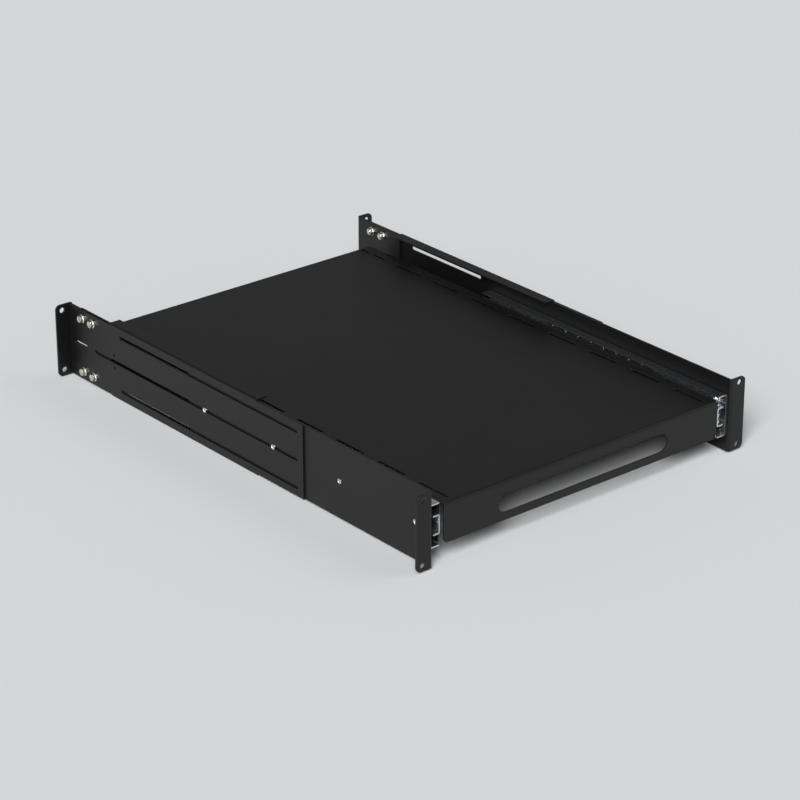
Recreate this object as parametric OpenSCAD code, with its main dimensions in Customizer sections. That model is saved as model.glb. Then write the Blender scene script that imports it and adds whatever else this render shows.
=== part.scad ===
// Sliding rack shelf: a steel tray on two ball-bearing slides, between brackets for a four-post rack.
// Millimetres. X runs to the right seen from the front, Y to the rear and Z up.
// The origin is the middle of the four front ear holes, on the front face of the front ears.
// Each side is drawn for the right and mirrored for the left. In the slides' sections, the first
// coordinate runs inward from the bracket's side plate to the tray.

/* [Rack fit] */
// Distance between the left and right ear holes
rack_hole_span = 465.1; // [450:0.1:500]
// Height between the two holes of an ear
rack_hole_pitch = 76.2; // [70:0.1:100]
// Diameter of the ear holes
ear_hole_d = 6.8; // [5:0.1:8]
// Distance from an ear hole's centre out to the edge of the ear
ear_edge = 8.75; // [7:0.05:12]
// Distance from an ear hole's centre to the end of a front ear
front_ear_end = 6.3; // [5.5:0.1:10]
// Distance from an ear hole's centre to the end of a rear ear
rear_ear_end = 7.4; // [5.5:0.1:12]
// Distance from an ear hole's centre in to the outer face of the front bracket's side plate
ear_hole_inset = 11.55; // [9:0.05:20]
// Depth from the front ears' front face to the rear ears' front face
rack_depth = 659.3; // [602:0.1:698]
// Radius of the ears' outer corners
ear_corner_r = 6; // [1:0.5:7]

/* [Sheet metal] */
// Sheet of the front brackets
front_sheet = 2; // [1.2:0.1:3]
// Sheet of the rear channels
channel_sheet = 2; // [1.2:0.1:3]
// Sheet of the rear ears
rear_ear_sheet = 2; // [1.2:0.1:3]
// Sheet of the tray
tray_sheet = 1.6; // [1:0.1:2.5]
// Inner radius of the bends of the tray and the ears
bend_r = 1.5; // [0.5:0.1:2]

/* [Front brackets] */
// Length of the side plate behind the slide's rear end
plate_overhang = 18.5; // [5:0.5:60]

/* [Rear channels] */
// Length of the channel's web
channel_len = 444; // [420:1:460]
// Distance from the channel's front edge to the start of its flanges
flange_start = 83; // [20:1:120]
// Length of the flanges
flange_len = 280; // [100:1:320]
// Width of the flanges, over the web
flange_w = 15; // [8:0.5:17]
// Inner radius of the flanges' bends, tight enough to clear the side plate's edges
flange_bend_r = 0.2; // [0.1:0.1:0.4]
// Distance from the channel's front edge to its slots
slot_start = 9; // [5:0.5:20]
// Width of the slots
slot_w = 4.6; // [4.4:0.1:6]
// Height of the upper and lower slots and of the ear bolts, from the middle
slot_row_z = 34; // [20:0.5:36]
// Length of the upper and lower slots
side_slot_len = 334.5; // [200:0.5:340]
// Length of the middle slot
middle_slot_len = 386; // [360:0.5:390]
// Length of the short slot behind the middle slot
short_slot_len = 27; // [10:0.5:30]
// Steel left between the middle slot and the short slot
short_slot_gap = 15; // [6:0.5:20]
// Diameter of the two small holes behind the slots
pin_hole_d = 4; // [2:0.1:6]
// Height of the small holes from the middle
pin_hole_z = 8; // [6:0.5:20]
// Distance from the end of the upper and lower slots to the small holes
pin_hole_gap = 12; // [6:0.5:14]

/* [Rear ears] */
// Length of the leg that lies inside the channel, from the ear's front face
leg_len = 81; // [60:0.5:84]
// Distance from the ear's front face to the nearer bolts
bolt_gap = 26.8; // [20:0.1:30]
// Distance between the bolts along the leg
bolt_pitch = 21; // [14:0.1:26]
// Length of the relief cut beside the bend
relief_len = 21; // [5:0.5:24]
// Depth of the relief cut
relief_depth = 1.2; // [0.5:0.1:3]

/* [Slides] */
// Length of the outer member
slide_len = 400; // [395:1:405]
// Height of the outer member
slide_h = 50.8; // [48:0.1:56]
// Thickness of the whole slide
slide_t = 14.3; // [13.5:0.1:18]
// Sheet of the three members
slide_sheet = 1.5; // [1:0.1:2]
// Distance from the front ears' front face to the slide's front end
slide_front = 5.5; // [4:0.5:10]
// How far the middle member's front end stands back from the other two
middle_recess = 12; // [0:0.5:14]
// Diameter of the balls
ball_d = 4.8; // [4:0.1:5]
// Number of balls in a row
balls_per_row = 8; // [2:1:9]
// Sheet of the ball cages
cage_sheet = 0.6; // [0.4:0.1:0.8]
// Length of a ball cage
cage_len = 172; // [100:1:172]
// Length of the rubber stop at the rear end
stop_len = 7; // [4:0.5:10]
// Height of the rubber stop
stop_h = 18; // [8:0.5:30]
// Diameter of the stud that holds the rubber stop in the outer member's web
stop_stud_d = 3; // [2:0.1:4]

/* [Tray] */
// Distance from the front ears' front face to the tray's front face
tray_front = 3; // [2:0.5:10]
// Length of the tray
tray_len = 615; // [560:1:640]
// Height of the tray's top face above the middle of the slides
tray_rise = 22.7; // [18:0.1:30]
// Height of the front, side and rear walls, over the top sheet
tray_h = 46; // [40:0.5:48]
// Gap between the ends of the front and rear walls and the side walls' outer faces
wall_gap = 3.5; // [0.5:0.1:6]
// Distance from the front and rear walls' outer faces to the side walls' ends
side_gap = 6; // [3.5:0.1:9]
// Radius of the lower corners of the front and rear walls
wall_corner_r = 5; // [2:0.5:10]
// Number of strap slots on each side
strap_slots = 9; // [1:1:9]
// Length of a strap slot
strap_slot_len = 47; // [20:0.5:60]
// Width of a strap slot
strap_slot_w = 4; // [2:0.1:6]
// Distance from one strap slot to the next
strap_slot_pitch = 69.5; // [62:0.5:70]
// Distance from the tray's front face to the middle of the first strap slot
strap_slot_first = 33; // [32:0.5:40]
// Distance from the tray's side to the middle of the strap slots
strap_slot_inset = 16.9; // [8:0.1:60]
// Length of the hand slot in the front wall
hand_slot_len = 250; // [100:1:360]
// Height of the hand slot
hand_slot_h = 22.5; // [10:0.5:30]
// Distance from the tray's top face down to the middle of the hand slot
hand_slot_drop = 25.4; // [20:0.1:28]

/* [Fasteners] */
// Diameter of the slide and tray screws
screw_d = 4; // [3:0.1:4.2]
// Diameter of a screw's head
screw_head_d = 6.2; // [5.6:0.1:8]
// Height of a screw's head
screw_head_h = 1.6; // [1:0.1:2.4]
// Diameter of the ear bolts
bolt_d = 5; // [4:0.1:6]
// Diameter of the flange under a bolt's head or a nut
bolt_flange_d = 11; // [9.5:0.1:12]
// Thickness of that flange
bolt_flange_t = 1.2; // [0.8:0.1:1.6]
// Distance across the flats of the bolts' heads and nuts
bolt_flats = 8; // [7.5:0.1:9]
// Height of a bolt's head or its nut, over the flange
bolt_head_h = 4.8; // [3:0.1:6]
// Distance across the flats of the tray screws' nuts
tray_nut_flats = 7; // [6.5:0.1:8]
// Height of the tray screws' nuts
tray_nut_h = 3.2; // [2:0.1:4]

/* [Hidden] */

$fn = 48;
overrun = 1;

powder_black = [0.10, 0.10, 0.11];
zinc = [0.78, 0.80, 0.82];
bright_nickel = [0.88, 0.88, 0.86];
cage_steel = [0.45, 0.46, 0.48];
rubber_black = [0.05, 0.05, 0.05];

// Brackets, across: the leg of the rear ear takes the place of the side plate behind it.
hole_x = rack_hole_span / 2;
ear_out_x = hole_x + ear_edge;
plate_out_x = hole_x - ear_hole_inset;
plate_in_x = plate_out_x - front_sheet;
leg_in_x = plate_out_x - rear_ear_sheet;
channel_out_x = plate_out_x + channel_sheet;
hole_z = rack_hole_pitch / 2;
plate_top = hole_z + front_ear_end;
rear_ear_top = hole_z + rear_ear_end;
edge_clear = 0.4;
flange_top = plate_top + edge_clear + channel_sheet;

// Brackets, along
slide_back = slide_front + slide_len;
plate_back = slide_back + plate_overhang;
channel_end_gap = bend_r + edge_clear * 2;
channel_back = rack_depth - channel_end_gap;
channel_front = channel_back - channel_len;
flange_front = channel_front + flange_start;
slots_front = channel_front + slot_start;
side_slots_back = slots_front + side_slot_len;
middle_slot_back = slots_front + middle_slot_len;
short_slot_front = middle_slot_back + short_slot_gap;
leg_front = rack_depth - leg_len;
bolt_ys = [for (i = [0:1]) rack_depth - bolt_gap - i * bolt_pitch];
slide_screw_shares = [0.05, 0.365];
clamp_screw_shares = [0.65, 0.965];
screw_slack = 0.1;
bolt_slack = 0.25;

// Slides: sections from the side plate inward, and heights from the middle line
ball_slack = 0.3;
run_gap = 0.25;
race_gap = ball_d + ball_slack * 2;
race_r = race_gap / 2;
outer_inside = slide_h / 2 - slide_sheet;
outer_ball_z = outer_inside - race_r;
middle_h = slide_h - slide_sheet * 2 - race_gap * 2;
inner_ball_z = middle_h / 2 - slide_sheet - race_r;
inner_h = middle_h - slide_sheet * 2 - race_gap * 2;
outer_cage_u = slide_sheet + run_gap;
middle_u = outer_cage_u + cage_sheet + run_gap;
inner_cage_u = middle_u + slide_sheet + run_gap;
inner_u = inner_cage_u + cage_sheet + run_gap;
web_u = slide_t - slide_sheet;
ball_u = (inner_u + web_u) / 2;
arm_lip = 1;
outer_arm_u = slide_t - arm_lip;
middle_arm_u = web_u - run_gap;
cage_arm_u = ball_u + ball_d / 2 + run_gap * 2;
race_rim = 1;
race_rim_w = ball_d / 2 + race_rim;
lip_h = 1.8;
member_bend_r = 0.5;
stop_gap = 1;
stop_y = slide_back - stop_len / 2;
member_len = slide_len - stop_len - stop_gap;
middle_front = slide_front + middle_recess;
middle_len = member_len - middle_recess;
cage_front = middle_front + (middle_len - cage_len) / 2;
ball_pitch = cage_len / balls_per_row;

// Tray
tray_x = plate_in_x - slide_t;
tray_back = tray_front + tray_len;
tray_bottom = tray_rise - tray_h;
wall_x = tray_x - wall_gap;
tray_screw_shares = [0.06, 0.5, 0.94];
strap_x = tray_x - strap_slot_inset;
strap_front = tray_front + strap_slot_first;
hand_slot_z = tray_rise - hand_slot_drop;

// Mirrors a right-hand piece for the left side
module on_side(side) {
    if (side == "left") mirror([1, 0, 0]) children();
    else children();
}

// Extrudes an X-Z section along Y
module along_y(front, length) {
    translate([0, front + length, 0]) rotate([90, 0, 0]) linear_extrude(length) children();
}

// Extrudes a Y-Z section along X
module along_x(start, length) {
    translate([start, 0, 0]) rotate([90, 0, 90]) linear_extrude(length) children();
}

// A slide's section, from the side plate inward, extruded along Y
module slide_section(front, length) {
    along_y(front, length) translate([plate_in_x, 0]) mirror([1, 0]) children();
}

// A quarter of a ring in the first quadrant
module bend_arc(outer_r, inner_r) {
    intersection() {
        difference() {
            circle(r = outer_r);
            circle(r = inner_r);
        }
        square(outer_r);
    }
}

// An angle's section: its outer corner is at the origin, and its legs run along -X and -Y
module angle_section(leg_x, leg_y, sheet, inner_r = bend_r) {
    corner = inner_r + sheet;
    translate([-leg_x, -sheet]) square([leg_x - corner, sheet]);
    translate([-sheet, -leg_y]) square([sheet, leg_y - corner]);
    translate([-corner, -corner]) bend_arc(corner, inner_r);
}

// A round-ended slot centred on the origin, along X
module slot_2d(length, width) {
    straight = length - width;
    translate([-straight / 2, -width / 2]) square([straight, width]);
    for (end = [-1, 1]) translate([end * straight / 2, 0]) circle(d = width);
}

// Cuts a slot through a side plate or web, given by its front end and its height
module side_slot(front, length, z, width) {
    along_x(leg_in_x - overrun, channel_out_x - leg_in_x + overrun * 2)
        translate([front + length / 2, z]) slot_2d(length, width);
}

// Drills a round hole along X, from one place across to another
module bore_x(y, z, d, from_x, to_x) {
    translate([from_x, y, z]) rotate([0, 90, 0]) cylinder(d = d, h = to_x - from_x);
}

// The outline of an ear: square inside, with rounded outer corners
module ear_outline(top) {
    inner = leg_in_x - overrun;
    translate([inner, -top]) square([ear_out_x - ear_corner_r - inner, top * 2]);
    translate([inner, -top + ear_corner_r])
        square([ear_out_x - inner, (top - ear_corner_r) * 2]);
    for (end = [-1, 1])
        translate([ear_out_x - ear_corner_r, end * (top - ear_corner_r)]) circle(r = ear_corner_r);
}

module ear_holes(face_y, sheet) {
    for (end = [-1, 1])
        translate([hole_x, face_y + sheet + overrun, end * hole_z])
            rotate([90, 0, 0]) cylinder(d = ear_hole_d, h = sheet + overrun * 2);
}

// Front bracket: a flat side plate with the ear folded outward at its front end
module front_bracket(side) {
    color(powder_black) on_side(side) difference() {
        intersection() {
            translate([0, 0, -plate_top]) linear_extrude(plate_top * 2)
                translate([plate_in_x, 0]) mirror([1, 0]) mirror([0, 1])
                    angle_section(ear_out_x - plate_in_x, plate_back, front_sheet);
            along_y(-overrun, plate_back + overrun * 2) ear_outline(plate_top);
        }
        ear_holes(0, front_sheet);
        for (share = concat(slide_screw_shares, clamp_screw_shares))
            bore_x(slide_front + share * slide_len, 0, screw_d + screw_slack * 2,
                plate_in_x - overrun, plate_out_x + overrun);
    }
}

// Rear channel: a slotted web outside the front bracket, with a flange at its top and bottom
module rear_channel(side) {
    color(powder_black) on_side(side) difference() {
        union() {
            translate([plate_out_x, channel_front, -plate_top])
                cube([channel_sheet, channel_len, plate_top * 2]);
            for (end = [0, 1]) mirror([0, 0, end])
                along_y(flange_front, flange_len) translate([channel_out_x, flange_top])
                    angle_section(flange_w, flange_w, channel_sheet, flange_bend_r);
        }
        for (end = [-1, 1]) {
            side_slot(slots_front, side_slot_len, end * slot_row_z, slot_w);
            bore_x(side_slots_back + pin_hole_gap, end * pin_hole_z, pin_hole_d,
                plate_out_x - overrun, channel_out_x + overrun);
            for (y = bolt_ys)
                bore_x(y, end * slot_row_z, bolt_d + bolt_slack * 2,
                    plate_out_x - overrun, channel_out_x + overrun);
        }
        side_slot(slots_front, middle_slot_len, 0, slot_w);
        side_slot(short_slot_front, short_slot_len, 0, slot_w);
    }
}

// Rear ear: an angle whose leg lies inside the channel's rear end
module rear_ear(side) {
    leg_back = rack_depth + rear_ear_sheet;
    color(powder_black) on_side(side) difference() {
        intersection() {
            translate([0, 0, -rear_ear_top]) linear_extrude(rear_ear_top * 2)
                translate([leg_in_x, leg_back]) mirror([1, 0])
                    angle_section(ear_out_x - leg_in_x, leg_back - leg_front, rear_ear_sheet);
            along_y(leg_front - overrun, leg_len + rear_ear_sheet + overrun * 2)
                ear_outline(rear_ear_top);
        }
        ear_holes(rack_depth, rear_ear_sheet);
        for (end = [0, 1]) mirror([0, 0, end])
            translate([leg_in_x - overrun, rack_depth - bend_r - relief_len, rear_ear_top - relief_depth])
                cube([rear_ear_sheet + overrun * 2, relief_len, relief_depth + overrun]);
        for (end = [-1, 1], y = bolt_ys)
            bore_x(y, end * slot_row_z, bolt_d + bolt_slack * 2, leg_in_x - overrun, plate_out_x + overrun);
        side_slot(short_slot_front, short_slot_len, 0, slot_w);
    }
}

// A hexagon with its outer corners chamfered, standing on the origin's plane
module chamfered_hex(flats, height) {
    corners = flats / cos(30);
    chamfer = (corners - flats) / 2;
    intersection() {
        cylinder(d = corners, h = height, $fn = 6);
        union() {
            cylinder(d = corners, h = height - chamfer);
            translate([0, 0, height - chamfer]) cylinder(d1 = corners, d2 = flats, h = chamfer);
        }
    }
}

// Ear bolts: flanged hexagon heads outside the channel, threaded ends just past the nuts
module ear_bolts(side) {
    grip = channel_sheet + rear_ear_sheet;
    thread_end = bolt_head_h + bolt_flange_t;
    color(bright_nickel) on_side(side)
        for (end = [-1, 1], y = bolt_ys)
            translate([channel_out_x, y, end * slot_row_z]) rotate([0, 90, 0]) {
                translate([0, 0, -grip - thread_end]) cylinder(d = bolt_d, h = grip + thread_end);
                cylinder(d = bolt_flange_d, h = bolt_flange_t);
                translate([0, 0, bolt_flange_t])
                    chamfered_hex(bolt_flats, bolt_head_h - bolt_flange_t);
            }
}

// Ear nuts: flanged nuts against the leg's inner face
module ear_nuts(side) {
    color(bright_nickel) on_side(side)
        for (end = [-1, 1], y = bolt_ys)
            translate([leg_in_x, y, end * slot_row_z]) rotate([0, -90, 0]) difference() {
                union() {
                    cylinder(d = bolt_flange_d, h = bolt_flange_t);
                    translate([0, 0, bolt_flange_t])
                        chamfered_hex(bolt_flats, bolt_head_h - bolt_flange_t);
                }
                translate([0, 0, -overrun])
                    cylinder(d = bolt_d + screw_slack * 2, h = bolt_head_h + overrun * 2);
            }
}

// A rectangle from the first axis inward, with its two outer corners rounded
module channel_outline(width, height, corner) {
    translate([corner, -height / 2]) square([width - corner, height]);
    translate([0, -height / 2 + corner]) square([width, height - corner * 2]);
    for (end = [-1, 1]) translate([corner, end * (height / 2 - corner)]) circle(r = corner);
}

// A C section of a slide member, with its web on the first axis
module member_section(width, height) {
    difference() {
        channel_outline(width, height, member_bend_r + slide_sheet);
        translate([slide_sheet, 0])
            channel_outline(width, height - slide_sheet * 2, member_bend_r);
    }
}

// The raised rims of a ball race, on a flat face at a height, toward the balls' row
module race(face_z, row_z) {
    low = min(face_z, row_z + sign(face_z - row_z) * (race_r - race_rim));
    difference() {
        translate([ball_u - race_rim_w, low]) square([race_rim_w * 2, race_rim]);
        translate([ball_u, row_z]) circle(r = race_r);
    }
}

// The upper and lower races of a member, from behind its plain front end to its back
module race_pair(face_z, row_z, back) {
    slide_section(middle_front, back - middle_front)
        for (end = [0, 1]) mirror([0, end]) race(face_z, row_z);
}

// Outer member: screwed to the bracket, open toward the tray
module slide_outer(side) {
    color(zinc) on_side(side) difference() {
        union() {
            slide_section(slide_front, slide_len) member_section(outer_arm_u, slide_h);
            race_pair(outer_inside, outer_ball_z, slide_back);
        }
        for (share = concat(slide_screw_shares, clamp_screw_shares))
            bore_x(slide_front + share * slide_len, 0, screw_d + screw_slack * 2,
                plate_in_x - slide_sheet - overrun, plate_in_x + overrun);
        bore_x(stop_y, 0, stop_stud_d + screw_slack * 2,
            plate_in_x - slide_sheet - overrun, plate_in_x + overrun);
    }
}

// Middle member: runs on the outer balls and carries the inner ones
module slide_middle(side) {
    half = middle_h / 2;
    color(zinc) on_side(side)
        slide_section(middle_front, middle_len) {
            translate([middle_u, 0]) member_section(middle_arm_u - middle_u, middle_h);
            for (end = [0, 1]) mirror([0, end]) {
                race(half, outer_ball_z);
                race(half - slide_sheet, inner_ball_z);
                translate([middle_arm_u - arm_lip, half - member_bend_r])
                    square([arm_lip, lip_h]);
            }
        }
}

// Inner member: screwed to the tray's side wall, open toward the bracket
module slide_inner(side) {
    color(zinc) on_side(side) difference() {
        union() {
            slide_section(slide_front, member_len)
                translate([slide_t, 0]) mirror([1, 0]) member_section(slide_t - inner_u, inner_h);
            race_pair(inner_h / 2, inner_ball_z, slide_front + member_len);
        }
        for (share = tray_screw_shares)
            bore_x(slide_front + share * member_len, 0, screw_d + screw_slack * 2,
                tray_x - overrun, tray_x + slide_sheet + overrun);
    }
}

// Places one ball or hole at each place of a cage's upper and lower rows
module ball_places(row_z) {
    for (end = [-1, 1], i = [0:balls_per_row - 1])
        translate([plate_in_x - ball_u, cage_front + (i + 1 / 2) * ball_pitch, end * row_z]) children();
}

// A ball cage: a thin strip with an arm along each row of balls
module ball_cage(side, cage_u, row_z) {
    arm = [cage_arm_u - cage_u, cage_sheet];
    color(cage_steel) on_side(side) difference() {
        slide_section(cage_front, cage_len) {
            translate([cage_u, -row_z]) square([cage_sheet, row_z * 2]);
            for (end = [-1, 1])
                translate([cage_u, end * row_z - cage_sheet / 2]) square(arm);
        }
        ball_places(row_z)
            translate([0, 0, -cage_sheet]) cylinder(d = race_gap, h = cage_sheet * 2);
    }
}

module ball_rows(side, row_z) {
    color(bright_nickel) on_side(side) ball_places(row_z) sphere(d = ball_d);
}

// Slide stop: a rubber block in the outer member's rear end, with a stud through its web
module slide_stop(side) {
    stop_u = web_u - run_gap * 2;
    color(rubber_black) on_side(side) {
        slide_section(slide_back - stop_len, stop_len)
            translate([slide_sheet, -stop_h / 2]) square([stop_u - slide_sheet, stop_h]);
        bore_x(stop_y, 0, stop_stud_d, plate_in_x - slide_sheet * 2, plate_in_x);
    }
}

// A pan-head screw along Z: its head stands on the origin's plane, its shank hangs below
module pan_screw(shank) {
    dome_r = screw_head_d;
    recess = [screw_head_d * 0.55, screw_head_h * 0.4, screw_head_h];
    difference() {
        intersection() {
            cylinder(d = screw_head_d, h = screw_head_h);
            translate([0, 0, screw_head_h - dome_r]) sphere(r = dome_r);
        }
        for (turn = [0, 90]) rotate([0, 0, turn])
            translate([-recess.x / 2, -recess.y / 2, screw_head_h / 2]) cube(recess);
    }
    translate([0, 0, -shank]) cylinder(d = screw_d, h = shank);
}

// A row of screws whose heads face outward at a given place across
module screw_row(side, head_x, ys, shank) {
    color(bright_nickel) on_side(side)
        for (y = ys) translate([head_x, y, 0]) rotate([0, 90, 0]) pan_screw(shank);
}

// Slide screws: the two in front, through the side plate into the outer member
module slide_screws(side) {
    ys = [for (share = slide_screw_shares) slide_front + share * slide_len];
    screw_row(side, plate_out_x, ys, front_sheet + slide_sheet);
}

// Clamp screws: the two behind, through the channel's middle slot as well
module clamp_screws(side) {
    ys = [for (share = clamp_screw_shares) slide_front + share * slide_len];
    screw_row(side, channel_out_x, ys, channel_sheet + front_sheet + slide_sheet);
}

// Tray screws: from inside the inner member through the tray's side wall
module tray_screws(side) {
    ys = [for (share = tray_screw_shares) slide_front + share * member_len];
    screw_row(side, tray_x + slide_sheet, ys, slide_sheet + tray_sheet + tray_nut_h + screw_slack * 4);
}

module tray_nuts(side) {
    color(bright_nickel) on_side(side)
        for (share = tray_screw_shares)
            translate([tray_x - tray_sheet, slide_front + share * member_len, 0])
                rotate([0, -90, 0]) difference() {
                    chamfered_hex(tray_nut_flats, tray_nut_h);
                    translate([0, 0, -overrun])
                        cylinder(d = screw_d + screw_slack * 2, h = tray_nut_h + overrun * 2);
                }
}

// A front or rear wall's outline: square above, with rounded lower corners
module wall_outline() {
    height = tray_h + overrun;
    translate([-wall_x, tray_bottom + wall_corner_r])
        square([wall_x * 2, height - wall_corner_r]);
    translate([-wall_x + wall_corner_r, tray_bottom])
        square([(wall_x - wall_corner_r) * 2, height]);
    for (end = [-1, 1])
        translate([end * (wall_x - wall_corner_r), tray_bottom + wall_corner_r])
            circle(r = wall_corner_r);
}

// Tray: a flat top folded down on all four sides, with a hand slot in the front wall
module tray() {
    color(powder_black) difference() {
        union() {
            for (side = ["left", "right"]) on_side(side)
                along_y(tray_front + side_gap, tray_len - side_gap * 2) translate([tray_x, tray_rise])
                    angle_section(tray_x, tray_h, tray_sheet);
            intersection() {
                along_x(-wall_x, wall_x * 2) {
                    translate([tray_back, tray_rise]) angle_section(tray_len / 2, tray_h, tray_sheet);
                    translate([tray_front, tray_rise]) mirror([1, 0])
                        angle_section(tray_len / 2, tray_h, tray_sheet);
                }
                along_y(tray_front - overrun, tray_len + overrun * 2) wall_outline();
            }
        }
        for (end = [-1, 1], i = [0:strap_slots - 1])
            translate([end * strap_x, strap_front + i * strap_slot_pitch, tray_rise - tray_sheet - overrun])
                rotate([0, 0, 90]) linear_extrude(tray_sheet + overrun * 2)
                    slot_2d(strap_slot_len, strap_slot_w);
        along_y(tray_front - overrun, tray_sheet + overrun * 2)
            translate([0, hand_slot_z]) slot_2d(hand_slot_len, hand_slot_h);
        for (side = ["left", "right"], share = tray_screw_shares) on_side(side)
            bore_x(slide_front + share * member_len, 0, screw_d + screw_slack * 2,
                tray_x - tray_sheet - overrun, tray_x + overrun);
    }
}

tray();
front_bracket("left");  // front_bracket_left
front_bracket("right");  // front_bracket_right
rear_channel("left");  // rear_channel_left
rear_channel("right");  // rear_channel_right
rear_ear("left");  // rear_ear_left
rear_ear("right");  // rear_ear_right
ear_bolts("left");  // ear_bolts_left
ear_bolts("right");  // ear_bolts_right
ear_nuts("left");  // ear_nuts_left
ear_nuts("right");  // ear_nuts_right
slide_outer("left");  // slide_outer_left
slide_outer("right");  // slide_outer_right
slide_middle("left");  // slide_middle_left
slide_middle("right");  // slide_middle_right
slide_inner("left");  // slide_inner_left
slide_inner("right");  // slide_inner_right
ball_cage("left", outer_cage_u, outer_ball_z);  // outer_cage_left
ball_cage("right", outer_cage_u, outer_ball_z);  // outer_cage_right
ball_rows("left", outer_ball_z);  // outer_balls_left
ball_rows("right", outer_ball_z);  // outer_balls_right
ball_cage("left", inner_cage_u, inner_ball_z);  // inner_cage_left
ball_cage("right", inner_cage_u, inner_ball_z);  // inner_cage_right
ball_rows("left", inner_ball_z);  // inner_balls_left
ball_rows("right", inner_ball_z);  // inner_balls_right
slide_stop("left");  // slide_stop_left
slide_stop("right");  // slide_stop_right
slide_screws("left");  // slide_screws_left
slide_screws("right");  // slide_screws_right
clamp_screws("left");  // clamp_screws_left
clamp_screws("right");  // clamp_screws_right
tray_screws("left");  // tray_screws_left
tray_screws("right");  // tray_screws_right
tray_nuts("left");  // tray_nuts_left
tray_nuts("right");  // tray_nuts_right
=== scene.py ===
"""Sliding rack shelf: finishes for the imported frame, detailed fasteners and stops, and stage."""

import math

import bmesh
import bpy
from bpy.props import FloatProperty, FloatVectorProperty, IntProperty, PointerProperty
from mathutils import Matrix, Vector


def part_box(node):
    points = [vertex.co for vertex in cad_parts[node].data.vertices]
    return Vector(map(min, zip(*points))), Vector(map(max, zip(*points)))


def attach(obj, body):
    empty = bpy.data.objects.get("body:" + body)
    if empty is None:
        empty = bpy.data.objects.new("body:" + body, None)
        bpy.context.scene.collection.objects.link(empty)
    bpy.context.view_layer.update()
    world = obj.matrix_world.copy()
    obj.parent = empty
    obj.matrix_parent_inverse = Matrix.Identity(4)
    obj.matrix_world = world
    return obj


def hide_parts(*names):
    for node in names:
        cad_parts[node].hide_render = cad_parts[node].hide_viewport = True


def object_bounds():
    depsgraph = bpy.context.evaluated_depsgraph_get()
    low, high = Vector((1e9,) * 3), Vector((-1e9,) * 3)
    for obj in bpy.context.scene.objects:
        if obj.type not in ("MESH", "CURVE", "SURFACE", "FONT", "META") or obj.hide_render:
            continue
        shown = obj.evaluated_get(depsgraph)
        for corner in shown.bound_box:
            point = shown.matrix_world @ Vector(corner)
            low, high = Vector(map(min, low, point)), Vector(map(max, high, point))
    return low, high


bl_info = {
    "name": "Sliding rack shelf",
    "version": (1, 0, 0),
    "blender": (4, 5, 0),
    "location": "3D View > Sidebar > Rack shelf",
    "description": "Finishes, fasteners and stage of a pull-out shelf for a four-post rack",
    "category": "Object",
}

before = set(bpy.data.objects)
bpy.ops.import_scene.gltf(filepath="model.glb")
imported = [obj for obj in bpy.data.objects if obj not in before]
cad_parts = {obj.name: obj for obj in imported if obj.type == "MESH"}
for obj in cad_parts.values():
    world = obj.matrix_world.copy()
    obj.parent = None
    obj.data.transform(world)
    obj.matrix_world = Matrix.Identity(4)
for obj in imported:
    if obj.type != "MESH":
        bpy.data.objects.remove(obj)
CAD_BOX = [list(corner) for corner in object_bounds()]
MM = 0.001
SIDES = {"left": -1, "right": 1}

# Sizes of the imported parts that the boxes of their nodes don't give
SIDE_PLATE_T = 2 * MM
SLIDE_STRIP_T = 1.5 * MM
FLANGE_D = 11 * MM
SCREW_HEAD_H = 1.6 * MM

# A hexagon's width across its flats, as a share of that across its corners
FLATS_SHARE = 0.866

# A Mix node repeats its sockets' names for numbers, vectors and colours, so the sockets of a
# colour mix go by number.
SHARE, FIRST, SECOND, MIXED = 0, 6, 7, 2


def node_size(node):
    """Width, depth and height of a CAD node."""
    low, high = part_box(node)
    return high - low


def linear(code):
    """An sRGB hex colour as linear red, green and blue."""
    parts = [int(code[i:i + 2], 16) / 255 for i in (0, 2, 4)]
    return tuple(c / 12.92 if c <= 0.04045 else ((c + 0.055) / 1.055) ** 2.4 for c in parts)


def colour_setting(name, description, code):
    """A colour that a user can change, from its sRGB hex default."""
    return FloatVectorProperty(name=name, description=description, subtype="COLOR",
                               min=0.0, max=1.0, default=linear(code))


def length_setting(name, description, default, low, high):
    """A length that a user can change, in metres."""
    return FloatProperty(name=name, description=description, unit="LENGTH", subtype="DISTANCE",
                         precision=5, default=default, min=low, max=high)


class CoatSettings(bpy.types.PropertyGroup):
    """Powder coat"""
    colour: colour_setting("Coat", "Colour of the powder coat", "0a0a0b")
    # Paler colour of the coat's fine specks, and of the painted highlight along sheared edges
    fleck_and_edge_highlight_colour: colour_setting(
        "Thin coat", "Colour of the coat where it thins on an edge", "4a4a4c")
    grain: length_setting(
        "Grain", "Size of the coat's fine texture as drawn", 0.9 * MM, 0.2 * MM, 5 * MM)
    ripple: length_setting(
        "Ripple", "Distance between the soft waves of the baked coat", 4 * MM, 1 * MM, 20 * MM)
    edge: length_setting(
        "Edge", "Radius that the coat gives to a sheared edge", 0.6 * MM, 0.1 * MM, 1 * MM)


class SlideSettings(bpy.types.PropertyGroup):
    """Ball-bearing slides"""
    zinc_colour: colour_setting("Zinc", "Colour of the zinc plating", "e6e9eb")
    cage_colour: colour_setting("Cages", "Colour of the ball cages' bare steel", "85888b")
    ball_colour: colour_setting("Balls", "Colour of the polished balls", "dcdee0")
    rubber_colour: colour_setting("Rubber", "Colour of the stops", "191919")
    roll_line: length_setting(
        "Rolling lines", "Width of the lines that the rolls leave along the members",
        0.35 * MM, 0.05 * MM, 2 * MM)
    stop_groove: length_setting(
        "Stop groove", "Width of a groove in a stop's front face", 1.6 * MM, 0.5 * MM, 4 * MM)


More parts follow.
